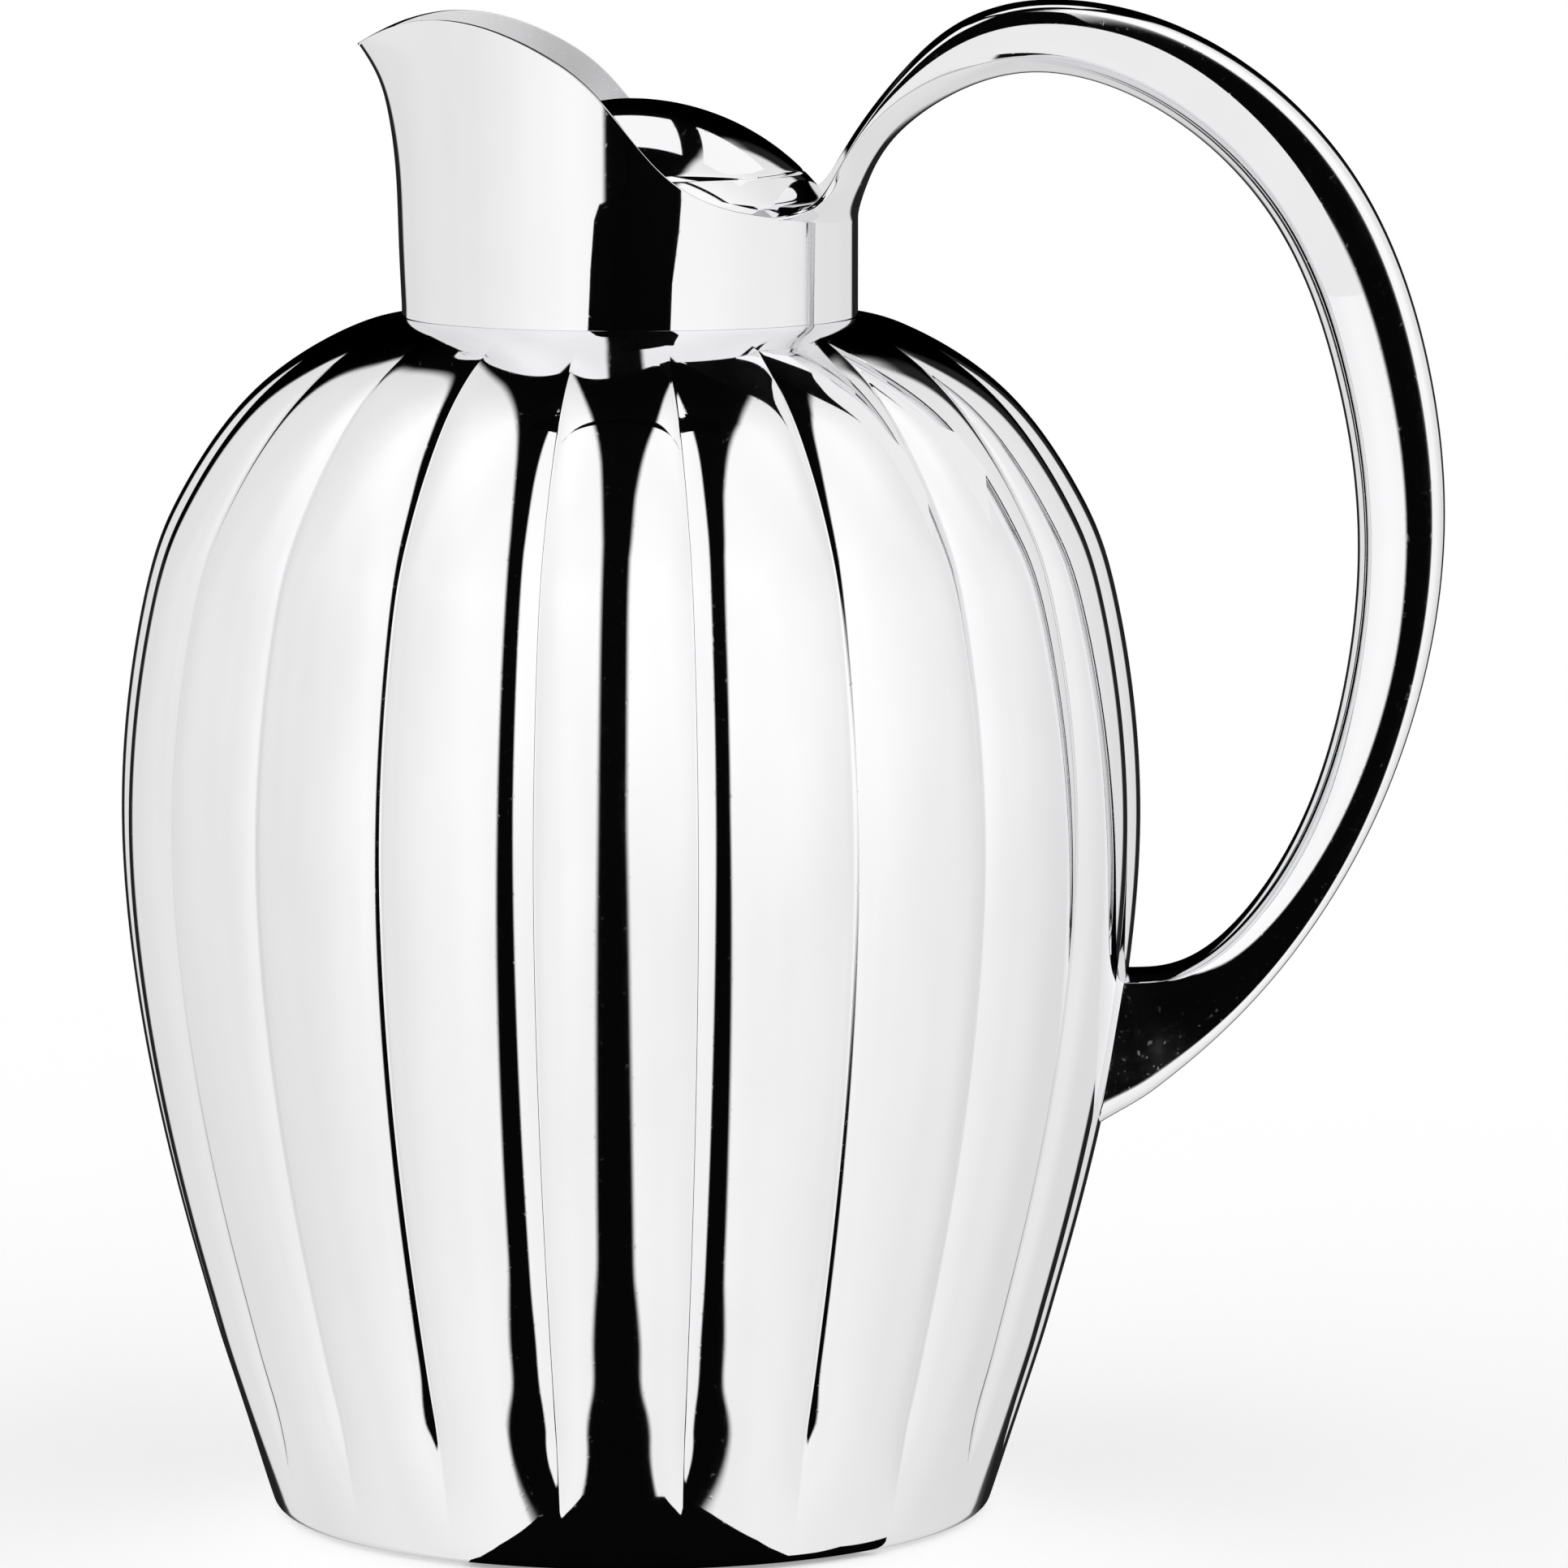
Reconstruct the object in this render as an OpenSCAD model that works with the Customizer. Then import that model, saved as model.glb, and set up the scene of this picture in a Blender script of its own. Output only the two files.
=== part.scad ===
// Lidded insulated jug: a twenty-lobed polished steel body with a short round
// neck, a drawn spout and a looped handle. Inside stand a double-walled flask,
// the ring that seals it to the neck, and a lift-out stopper whose domed lid
// rocks on a pin and is kept level by a hanging weight.
// Millimetres. +Z up, spout towards -X, handle towards +X. The origin is the
// centre of the pad that the jug stands on.

/* [Body] */
// Number of lobes around the body
lobe_n = 20; // [12:2:28]
// Depth of the crease between two lobes at the widest level
lobe_depth = 2.1; // [0.5:0.1:3]
// Share of the lobe depth that falls away close to the crease
lobe_edge = 0.32; // [0:0.02:0.6]
// Thickness of the steel sheet
wall = 1.2; // [0.8:0.1:1.6]
// Height of the foot edge above the table
foot_z = 0.6; // [0.4:0.1:1]
// Radius of the opening in the foot
foot_opening_r = 52.5; // [52:0.5:53.5]

/* [Neck and spout] */
// Outer radius of the neck
neck_r = 36; // [35.5:0.1:36.5]
// Height of the seam between body and neck
seam_z = 190.5; // [190:0.1:191]
// Half width, in degrees, of the drawn-out beak of the spout
beak_width = 20; // [14:1:26]

/* [Flask] */
// Outer radius of the flask, which goes in through the foot
flask_r = 47.5; // [44:0.5:49]
// Radial gap of the vacuum between the two flask walls
vacuum_gap = 3.6; // [2:0.2:5]
// Thickness of each flask wall
flask_wall = 0.6; // [0.5:0.1:0.8]
// Bore radius of the flask mouth
mouth_r = 24.6; // [24:0.1:25]
// Height of the flask's rim
mouth_z = 188; // [187:0.5:188]

/* [Stopper and lid] */
// Radius of the domed lid's edge
lid_r = 27.3; // [26:0.1:27.5]
// Radius of the sphere that the lid and its collar follow
dome_r = 38.85; // [38:0.05:40]
// Height of the top of the dome
dome_top_z = 224.6; // [224:0.1:226]
// Height of the pin that the lid rocks on
pin_z = 207; // [206.5:0.1:207.5]
// Radius of the pin
pin_r = 1.5; // [1.2:0.1:1.8]
// Outer radius of the steel collar
collar_r = 31.2; // [30.8:0.1:31.5]

/* [Hidden] */
$fn = 96;

run_gap = 0.05;      // radial running clearance of a pin
part_gap = 0.3;      // clearance between parts that move past each other

// Side line of the body along the crest of a lobe, as [radius, height] control points
side_pts = [[57.5, 2], [66, 27.5], [67, 31.5], [76.5, 65], [83, 112], [77, 149.5], [72.5, 161],
            [60.5, 180], [42.5, 190], [neck_r + 0.1, seam_z]];
// Middle line of the handle's inner face, as [x, height] control points
grip_in = [[36, 205.5], [36, 206.5], [39.5, 218.5], [55, 228.5], [69.5, 229.5], [87, 222],
           [103.5, 205.5], [112.5, 180.5], [117, 150], [109.5, 110.5], [91.5, 86.5], [79, 86.5]];
// Outer edge of the handle at the same stations
grip_out = [[23.5, 207.5], [30, 208], [34, 218], [50, 239], [71.5, 241.5], [94.5, 234],
            [116.5, 213.5], [127.5, 183], [130.5, 148], [119.5, 108.5], [98, 78], [75, 61]];
// Half width of the handle, and crown of its inner face, at the same stations
grip_width = [27.2, 24, 14, 9.5, 8.6, 8.2, 8, 7.8, 7.5, 7.2, 7, 7.4];
grip_crown = [11.5, 8, 3.4, 2.8, 2.7, 2.5, 2.2, 1.8, 1.5, 1.4, 1.4, 1.6];
// Height of the rim over x, from the spout's tip to its lowest point
rim_pts = [[-42.8, 233.3], [-37, 236.6], [-29, 238.2], [-20, 236.5], [-10, 231.8], [-3, 226],
           [5, 214.5], [14, 209], [23.6, 207.4]];
// Reach of the spout's beak beyond the neck, as [reach, height] control points
beak_pts = [[0, 192], [0.5, 202], [0.7, 213], [1.7, 221], [3.2, 228], [6.9, 233.5]];

beak_top = 240;                  // the beak's line is held level above its tip
handle_half = acos(23.6 / 36);   // half angle of the neck that the handle grows from
rim_x = neck_r * cos(handle_half);
neck_wall = 1.2;                 // thickness of the neck and spout
seam_in_r = neck_r - neck_wall;
lobe_step = 360 / lobe_n;

shell_steps = 19;                // rings of the body's side line
around = 4 * lobe_n;             // points around the body
neck_around = 72;                // points around the neck
neck_steps = 10;                 // rings of the neck
grip_steps = 34;                 // rings of the handle
grip_side = 8;                   // strips across each face of the handle
grip_bore_from = 12;             // first ring of the handle's hollow
grip_bore = 0.72;                // size of the hollow against the outside
strap_soft = 0.6;                // softness of the change from thin strap to full grip

foot_floor = foot_z + wall;      // upper face of the turned-in foot
foot_bend_r = 55.6;              // radius at which the foot's flat edge starts to roll up
ring_r = 50.2;                   // bore of the threaded ring in the foot
ring_top = 10;                   // upper face of that ring
cover_r = 52.2;                  // edge of the base cover
pad_r = 47.5;                    // radius of the pad's seat
pad_top = 1;                     // upper face of the pad
cover_top = 3.2;                 // upper face of the cover's plate
cover_cap_r = 12;                // radius of the recess under the vacuum cap

flask_z = 10;                    // underside of the outer flask wall
flask_in_z = 15;                 // underside of the inner flask wall
flask_round = 9;                 // rounding of the flask's bottom corner
flask_shoulder_z = 142;          // height at which the flask starts to narrow
flask_throat_z = 178;            // height at which the flask has narrowed to its mouth
inner_r = flask_r - flask_wall - vacuum_gap;
rim_h = 2;                       // height of the welded rim
rim_z_low = mouth_z - rim_h;
rim_out_r = mouth_r + vacuum_gap + flask_wall;
gasket_in_r = mouth_r + 1;
gasket_out_r = mouth_r + 3.2;

funnel_z = 189.2;                // underside of the funnel ring
funnel_top = 192;                // face that the stopper rests on
funnel_lip = 1.2;                // height of the ring's edge above that face
funnel_r = 33.5;                 // radius of the ring inside the shoulder
pin_ball_r = norm([lid_r, dome_z(lid_r) - pin_z]);   // reach of the lid's edge from the pin
socket_r = pin_ball_r + part_gap;
lid_h = dome_z(lid_r) - pin_z;   // height of the lid's edge above the pin
lid_sheet = 0.6;                 // thickness of the dome
lid_lip = 3.4;                   // depth of the dome's turned-down edge
collar_sheet = 0.9;              // thickness of the collar
skirt_z = pin_z - 3.6;           // lower edge of the collar
cup_r = collar_r - 0.2;          // radius of the stopper's cup
cup_z = 194;                     // underside of the cup
seal_h = 0.6;                    // thickness of the seal under the cup
plug_r = 22.4;                   // radius of the plug
plug_z = 172;                    // underside of the plug
passage_r = 19.5;                // bore of the plug
groove_d = 1.2;                  // depth of the plug's seal groove
bush_wall = 0.9;                 // wall of a pin bush
bush_end = collar_r - 1.9;       // outer end of a bush
screw_r = 1.25;                  // radius of the weight's screw
weight_r = 8.5;
weight_low = 186;
weight_top = 196;

// ---------------------------------------------------------------- curves
// A smooth curve through the first and last control points, t from 0 to len - 1
function knot(p, i) =
    i < 0 ? 2 * p[0] - p[1] :
    i > len(p) - 1 ? 2 * p[len(p) - 1] - p[len(p) - 2] : p[i];
function curve(p, t) =
    let (i = min(floor(t), len(p) - 2), u = t - i)
    (pow(1 - u, 3) * knot(p, i - 1) + (3 * pow(u, 3) - 6 * pow(u, 2) + 4) * knot(p, i)
     + (-3 * pow(u, 3) + 3 * pow(u, 2) + 3 * u + 1) * knot(p, i + 1)
     + pow(u, 3) * knot(p, i + 2)) / 6;
function slope(p, t) =
    let (i = min(floor(t), len(p) - 2), u = t - i)
    (-pow(1 - u, 2) * knot(p, i - 1) + (3 * pow(u, 2) - 4 * u) * knot(p, i)
     + (-3 * pow(u, 2) + 2 * u + 1) * knot(p, i + 1) + pow(u, 2) * knot(p, i + 2)) / 2;
function unit(v) = v / norm(v);
function reverse(v) = [for (i = [len(v) - 1 : -1 : 0]) v[i]];
function ease(x) = let (u = max(0, min(1, x))) u * u * (3 - 2 * u);
// Parameter at which coordinate k of a rising curve reaches v
function solve(p, k, v, low, high, n = 24) =
    let (mid = (low + high) / 2)
    n == 0 ? mid : curve(p, mid)[k] < v ? solve(p, k, v, mid, high, n - 1)
                                        : solve(p, k, v, low, mid, n - 1);

// ------------------------------------------------------------------ body
// How far a lobe falls away from its crest, 0 on the crest and 1 in the crease
function fall(phi) =
    let (s = abs((phi + 720 + lobe_step / 2) % lobe_step - lobe_step / 2) / (lobe_step / 2))
    (1 - lobe_edge) * pow(s, 2) + lobe_edge * pow(s, 6);
// The lobes fade out at the foot and under the neck
function lobe_at(p) =
    lobe_depth * p[0] / 81 * ease((p[1] - 3) / 20) * ease((p[0] - 40) / 16);
function shell_pt(t, phi, inset) =
    let (p = curve(side_pts, t), d = unit(slope(side_pts, t)),
         q = p - [d[1], -d[0]] * (lobe_at(p) * fall(phi) + inset))
    [q[0] * cos(phi), q[0] * sin(phi), q[1]];
function shell_ring(t, inset) =
    [for (j = [0 : around - 1]) shell_pt(t, j * 360 / around, inset)];
function flat_ring(r, z, n) = [for (j = [0 : n - 1]) [r * cos(j * 360 / n), r * sin(j * 360 / n), z]];
function shell_t(i) = i / shell_steps * (len(side_pts) - 1);
function shell_r(z) = curve(side_pts, solve(side_pts, 1, z, 0, len(side_pts) - 1))[0];

// ------------------------------------------------------------------ neck
// Height of the rim over x, which runs down into the handle's root past rim_x
function rim_z(x, phi) =
    x >= rim_x ? 205.5 + 0.16 * neck_r * (1 - cos(phi))
               : curve(rim_pts, solve(rim_pts, 0, x, 0, len(rim_pts) - 1))[1];
function beak_reach(z) = curve(beak_pts, solve(beak_pts, 1, z, 0, len(beak_pts) - 1))[0];
function neck_out(phi, z) =
    neck_r + beak_reach(min(z, beak_top)) * exp(-pow(abs(phi - 180) / beak_width, 1.5));
// Rim height at an angle, found by letting x and height settle together
function rim_at(phi, z = 225, n = 10) =
    n == 0 ? z : rim_at(phi, rim_z(neck_out(phi, z) * cos(phi), phi), n - 1);
function neck_ring(i, inset) =
    [for (j = [0 : neck_around - 1])
        let (phi = j * 360 / neck_around, top = rim_at(phi),
             z = seam_z + (top - seam_z) * i / neck_steps, r = neck_out(phi, z) - inset)
        [r * cos(phi), r * sin(phi), z]];

// ---------------------------------------------------------------- handle
function grip_t(i) = i / grip_steps * (len(grip_in) - 1);
// Wall of the strap, which stays at least as thick as the neck's
function strap_wall(gap, t) =
    (gap + neck_wall) / 2 + norm([gap - neck_wall, strap_soft * ease(t)]) / 2;
// One point of a handle section: v runs from -1 to 1 across, side 0 is the
// inner face and side 1 the outer one, which turns from hollow to rounded
function grip_pt(t, v, side, size) =
    let (a = curve(grip_in, t), b = curve(grip_out, t), n = unit(b - a), high = norm(b - a),
         w = curve(grip_width, t), k = ease((t - 0.6) / 2.4),
         lip = strap_wall(high - curve(grip_crown, t), t), c = high - lip,
         low = c * pow(v, 2),
         round = c + lip * pow(max(0, 1 - pow(abs(v), 2.4)), 0.5),
         h = side == 0 ? low : (1 - k) * (low + lip) + k * round,
         hs = high / 2 + (h - high / 2) * size, q = a + n * hs)
    [q[0], w * v * size, q[1]];
function grip_ring(t, size) = concat(
    [for (j = [0 : grip_side - 1]) grip_pt(t, sin(90 * (2 * j / grip_side - 1)), 0, size)],
    [for (j = [0 : grip_side - 1]) grip_pt(t, sin(90 * (1 - 2 * j / grip_side)), 1, size)]);
// The lower end is cut to the body's crest and let 0.2 into it
function seat(p) = [sqrt(pow(shell_r(p[2]) - 0.2, 2) - pow(p[1], 2)), p[1], p[2]];
function seated(ring) = [for (p = ring) seat(p)];

// -------------------------------------------------------------- polyhedra
// Closed skin through a list of equal rings. A loop joins the last ring to the
// first; otherwise both ends are capped about their middle points.
function strips(n, m, loop) =
    [for (i = [0 : n - (loop ? 1 : 2)]) for (j = [0 : m - 1])
        let (a = i * m, b = ((i + 1) % n) * m, k = (j + 1) % m)
        each [[a + j, b + j, b + k], [a + j, b + k, a + k]]];
function middle(ring) = [for (k = [0 : 2]) let (s = [for (p = ring) p[k]]) total(s) / len(ring)];
function total(v, i = 0) = i == len(v) ? 0 : v[i] + total(v, i + 1);
module skin_loop(rings) {
    polyhedron(points = [for (r = rings) each r], faces = strips(len(rings), len(rings[0]), true),
               convexity = 8);
}
module skin_capped(rings) {
    n = len(rings);
    m = len(rings[0]);
    polyhedron(
        points = concat([for (r = rings) each r], [middle(rings[0]), middle(rings[n - 1])]),
        faces = concat(strips(n, m, false),
                       [for (j = [0 : m - 1]) [n * m, j, (j + 1) % m]],
                       [for (j = [0 : m - 1]) [n * m + 1, (n - 1) * m + (j + 1) % m, (n - 1) * m + j]]),
        convexity = 8);
}
module turned(outline) { rotate_extrude() polygon(outline); }
module ring(r_in, r_out, z_low, z_high) {
    turned([[r_in, z_low], [r_out, z_low], [r_out, z_high], [r_in, z_high]]);
}

// ------------------------------------------------------------------- jug
// Lobed steel sheet, turned in at the foot and open at the neck
module body_shell() {
    top = len(side_pts) - 1;
    outside = concat([flat_ring(foot_opening_r, foot_z, around),
                      flat_ring(foot_bend_r, foot_z, around),
                      flat_ring(foot_bend_r + 1.3, foot_z + 0.5, around)],
                     [for (i = [0 : shell_steps]) shell_ring(shell_t(i), 0)]);
    inside = concat([for (i = [shell_steps : -1 : 1]) shell_ring(shell_t(i), wall)],
                    [flat_ring(foot_bend_r + 0.6, foot_floor + 0.6, around),
                     flat_ring(foot_bend_r - 0.4, foot_floor, around),
                     flat_ring(foot_opening_r, foot_floor, around)]);
    color("silver") skin_loop(concat(outside, inside));
}

// Neck drawn out into the spout, with the rim sloping down towards the handle
module neck_spout() {
    color("silver") skin_loop(concat(
        [for (i = [0 : neck_steps]) neck_ring(i, 0)],
        [for (i = [neck_steps : -1 : 0]) neck_ring(i, neck_wall)]));
}

// Looped handle: a strap at the neck that closes into a hollow rounded grip
module handle() {
    outside = [for (i = [0 : grip_steps - 1]) grip_ring(grip_t(i), 1)];
    inside = [for (i = [grip_steps - 1 : -1 : grip_bore_from]) grip_ring(grip_t(i), grip_bore)];
    foot_outside = seated(grip_ring(grip_t(grip_steps), 1));
    foot_inside = seated(grip_ring(grip_t(grip_steps), grip_bore));
    color("silver") skin_capped(concat(outside, [foot_outside, foot_inside], inside));
}

// Ring brazed into the foot, with the thread that holds the base cover
module foot_thread_ring() {
    color("darkgray") ring(ring_r, foot_bend_r - 0.6, foot_floor, ring_top);
}

// Screwed cover that closes the foot and carries the flask
module base_cover() {
    key_n = 3;
    key_r = 1.6;
    thread_r = ring_r - 0.2;
    hub_in = thread_r - 3.5;
    flange = foot_floor - 0.05;
    color("dimgray") difference() {
        turned([[0, 0.7], [cover_r, 0.7], [cover_r, flange], [thread_r, flange],
                [thread_r, ring_top - 0.5], [hub_in, ring_top - 0.5], [hub_in, cover_top],
                [cover_cap_r, cover_top], [cover_cap_r, cover_top - 0.8], [0, cover_top - 0.8]]);
        // seat of the pad
        translate([0, 0, -pad_top]) cylinder(r = pad_r, h = 2 * pad_top);
        // holes for the key that screws the cover in
        for (a = [0 : key_n - 1]) rotate(a * 360 / key_n)
            translate([pad_r + 2.3, 0, foot_z - 0.2]) cylinder(r = key_r, h = 1);
    }
}

// Rubber disc that the jug stands on
module foot_pad() {
    color("black") turned([[0, 0], [pad_r - 0.9, 0], [pad_r - 0.2, 0.4], [pad_r - 0.2, pad_top],
                           [0, pad_top]]);
}

// ----------------------------------------------------------------- flask
// Rubber cup between the base cover and the flask
module flask_cushion() {
    bore = 14;
    color("dimgray") turned([[bore, cover_top], [38, cover_top], [43, 8], [43, flask_z - 0.5],
                             [42.5, flask_z], [bore, flask_z]]);
}

// Quarter-round and sweeping stretches of a flask outline, from the bottom up
function round_corner(r, z, size, n) =
    [for (i = [0 : n]) [r - size + size * sin(90 * i / n), z + size - size * cos(90 * i / n)]];
function shoulder(r_low, r_high, z_low, z_high, n) =
    [for (i = [0 : n]) let (u = i / n)
        [r_high + (r_low - r_high) * (1 + cos(180 * u)) / 2, z_low + (z_high - z_low) * u]];

// Closed outline of a flask wall: its outside from the bottom up, then its inside back down
function flask_line(r, r_mouth, z, z_shoulder, z_throat) =
    let (r_in = r - flask_wall, mouth_in = r_mouth - flask_wall)
    concat([[0, z]], round_corner(r, z, flask_round, 6),
           shoulder(r, r_mouth, z_shoulder, z_throat, 10), [[r_mouth, rim_z_low]],
           [[mouth_in, rim_z_low]], reverse(shoulder(r_in, mouth_in, z_shoulder, z_throat, 10)),
           reverse(round_corner(r_in, z + flask_wall, flask_round - flask_wall, 6)),
           [[0, z + flask_wall]]);

// Outer wall of the flask
module flask_outer() {
    color("gainsboro") turned(
        flask_line(flask_r, rim_out_r, flask_z, flask_shoulder_z, flask_throat_z));
}

// Inner wall of the flask, which holds the drink
module flask_inner() {
    color("gainsboro") turned(
        flask_line(inner_r, mouth_r + flask_wall, flask_in_z, flask_shoulder_z - 2,
                   flask_throat_z - 2));
}

// Welded ring that closes the vacuum between the two walls
module flask_rim() {
    color("silver") turned([[mouth_r, rim_z_low], [rim_out_r, rim_z_low],
        [rim_out_r, mouth_z - 1], [gasket_out_r, mouth_z], [gasket_in_r, mouth_z],
        [mouth_r, mouth_z - 1]]);
}

// Cap over the pinched-off tube under the flask
module vacuum_seal_cap() {
    r = 6;
    h = 3;
    color("goldenrod") turned([[0, flask_z - h], [r - 2, flask_z - h], [r, flask_z - h / 2],
                               [r, flask_z], [0, flask_z]]);
}

// Silicone ring between the flask's rim and the funnel ring
module mouth_gasket() {
    color("white") ring(gasket_in_r, gasket_out_r, mouth_z, funnel_z);
}

// Ring that leads the drink from the flask's mouth to the neck
module funnel_ring() {
    edge_r = seam_in_r - 0.1;
    ledge_z = seam_z + 0.4;
    color("black") turned([[mouth_r, funnel_z], [funnel_r, funnel_z], [funnel_r, ledge_z],
        [edge_r, ledge_z], [edge_r, funnel_top + funnel_lip],
        [funnel_r - 0.3, funnel_top + funnel_lip], [funnel_r - 1.5, funnel_top],
        [mouth_r, funnel_top]]);
}

// --------------------------------------------------------------- stopper
function dome_z(r) = dome_top_z - dome_r + sqrt(pow(dome_r, 2) - pow(r, 2));
// Stretch of a circle about the pin, by height above it
function about_pin(r, low, high, n) =
    [for (i = [0 : n]) let (h = low + (high - low) * i / n) [sqrt(r * r - h * h), pin_z + h]];
// Stretch of the dome's line, lowered by drop along its radius
function dome_line(r_low, r_high, drop, n) =
    [for (i = [0 : n]) let (r = r_low + (r_high - r_low) * i / n, k = 1 - drop / dome_r)
        [r * k, dome_top_z - dome_r + sqrt(pow(dome_r, 2) - r * r) * k]];

// Hollow plug with the cup that the lid rocks in
module stopper_body() {
    cup_top = 3.8;
    wall_top = 1.6;
    wall_r = collar_r - collar_sheet - 0.2;
    flange_z = funnel_top + seal_h;
    socket = about_pin(socket_r, cup_top, cup_z + 1.5 - pin_z, 10);
    color("black") difference() {
        turned(concat(
            [[passage_r, plug_z], [plug_r, plug_z], [plug_r, plug_z + 4],
             [plug_r - groove_d, plug_z + 4], [plug_r - groove_d, plug_z + 7],
             [plug_r, plug_z + 7], [plug_r, flange_z], [cup_r - 1, flange_z],
             [cup_r, flange_z + 1], [cup_r, skirt_z], [wall_r, skirt_z],
             [wall_r, pin_z + wall_top]],
            socket, [[passage_r, cup_z - 2]]));
        // seats of the two pin bushes
        rotate([90, 0, 0]) translate([0, pin_z, -collar_r])
            cylinder(r = pin_r + bush_wall, h = 2 * collar_r);
    }
}

// Polished ring that carries the dome's line out from the lid's edge
module stopper_collar() {
    edge_r = lid_r + part_gap;
    lip_h = dome_z(edge_r) - pin_z - 0.1;
    in_r = collar_r - collar_sheet;
    color("silver") turned(concat(
        dome_line(edge_r, collar_r, 0, 6),
        [[collar_r, skirt_z], [in_r, skirt_z], [in_r, pin_z + 2]],
        dome_line(in_r, edge_r + 1.2, collar_sheet, 6),
        about_pin(socket_r, lip_h - 1.1, lip_h, 3)));
}

// Silicone ring that grips the flask's mouth
module stopper_seal_lower() {
    grip_r = mouth_r - 0.1;
    color("white") turned([[plug_r - groove_d, plug_z + 4], [grip_r - 0.4, plug_z + 4.6],
        [grip_r, plug_z + 5.5], [grip_r - 0.4, plug_z + 6.4], [plug_r - groove_d, plug_z + 7]]);
}

// Silicone ring under the stopper's flange
module stopper_seal_upper() {
    color("white") ring(plug_r + 3, cup_r - 2, funnel_top, funnel_top + seal_h);
}

// Two bushes that hold the ends of the pin
module pin_bushes() {
    start = socket_r + 0.1;
    color("gold") for (a = [0, 180]) rotate(a) translate([0, 0, pin_z]) rotate([-90, 0, 0])
        difference() {
            translate([0, 0, start]) cylinder(r = pin_r + bush_wall, h = bush_end - start);
            translate([0, 0, start - 1]) cylinder(r = pin_r + 0.01, h = collar_r);
        }
}

// Pin that the lid rocks on
module hinge_pin() {
    color("silver") translate([0, bush_end, pin_z]) rotate([90, 0, 0])
        cylinder(r = pin_r, h = 2 * bush_end);
}

// ------------------------------------------------------------------- lid
// Polished dome with a turned-down edge that stays round about the pin
module lid_dome() {
    color("silver") turned(concat(
        dome_line(0, lid_r, 0, 10), about_pin(pin_ball_r, lid_h - 1, lid_h - lid_lip, 4),
        about_pin(pin_ball_r - lid_sheet, lid_h - lid_lip, lid_h - 1.4, 4),
        reverse(dome_line(0, lid_r - 2 * lid_sheet, lid_sheet, 10))));
}

// Black insert under the dome, with the hub on the pin and the stem below
module lid_liner() {
    hub_r = 3.5;
    hub_reach = 26;
    stem_r = 3.6;
    disc_r = 26;
    disc_z = pin_z + 0.9;
    rim_z_top = pin_z + lid_h - 1.6;
    color("black") difference() {
        union() {
            turned([[0, disc_z], [disc_r, disc_z], [disc_r, disc_z + 0.7],
                    [disc_r + 0.9, pin_z + lid_h - lid_lip], [disc_r + 0.4, rim_z_top],
                    [disc_r - 1, rim_z_top], [disc_r - 1.6, disc_z + 1.5], [0, disc_z + 1.5]]);
            // hub along the pin
            translate([0, hub_reach, pin_z]) rotate([90, 0, 0])
                cylinder(r = hub_r, h = 2 * hub_reach);
            // stem for the weight
            translate([0, 0, weight_top]) cylinder(r = stem_r, h = disc_z - weight_top);
        }
        translate([0, collar_r, pin_z]) rotate([90, 0, 0])
            cylinder(r = pin_r + run_gap, h = 2 * collar_r);
        translate([0, 0, weight_top - 1]) cylinder(r = screw_r, h = 7);
    }
}

// Silicone ring that closes the gap between lid and cup
module lid_seal() {
    low = pin_z + 1.7;
    top = pin_z + lid_h - lid_lip - 0.1;
    color("white") turned([[26.1, low], [pin_ball_r - 0.1, low], [pin_ball_r - 0.2, top],
                           [26.95, top]]);
}

// Hanging weight that keeps the lid level while the jug is tipped
module lid_weight() {
    bore = screw_r + 0.05;
    edge = weight_r - 1;
    color("silver") turned([[bore, weight_low], [edge, weight_low], [weight_r, weight_low + 1],
                            [weight_r, weight_top - 1], [edge, weight_top], [bore, weight_top]]);
}

// Screw that holds the weight to the stem
module weight_screw() {
    head_r = 2.6;
    head_z = weight_low - 2;
    slot_w = 0.7;
    end_z = weight_top + 6;
    color("dimgray") difference() {
        turned([[0, head_z], [head_r - 0.4, head_z], [head_r, head_z + 0.5], [head_r, weight_low],
                [screw_r, weight_low], [screw_r, end_z], [0, end_z]]);
        translate([-3, -slot_w / 2, head_z - 0.4]) cube([6, slot_w, 1.2]);
    }
}

body_shell();
neck_spout();
handle();
foot_thread_ring();
base_cover();
foot_pad();
flask_cushion();
flask_outer();
flask_inner();
flask_rim();
vacuum_seal_cap();
mouth_gasket();
funnel_ring();
stopper_body();
stopper_collar();
stopper_seal_lower();
stopper_seal_upper();
pin_bushes();
hinge_pin();
lid_dome();
lid_liner();
lid_seal();
lid_weight();
weight_screw();
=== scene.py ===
"""Looks of the lidded insulated jug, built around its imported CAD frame.

Shapes are worked out in millimetres and go into their meshes in metres. +Z is up,
the spout points to -X and the handle to +X, as in the CAD.
"""

import math

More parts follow.
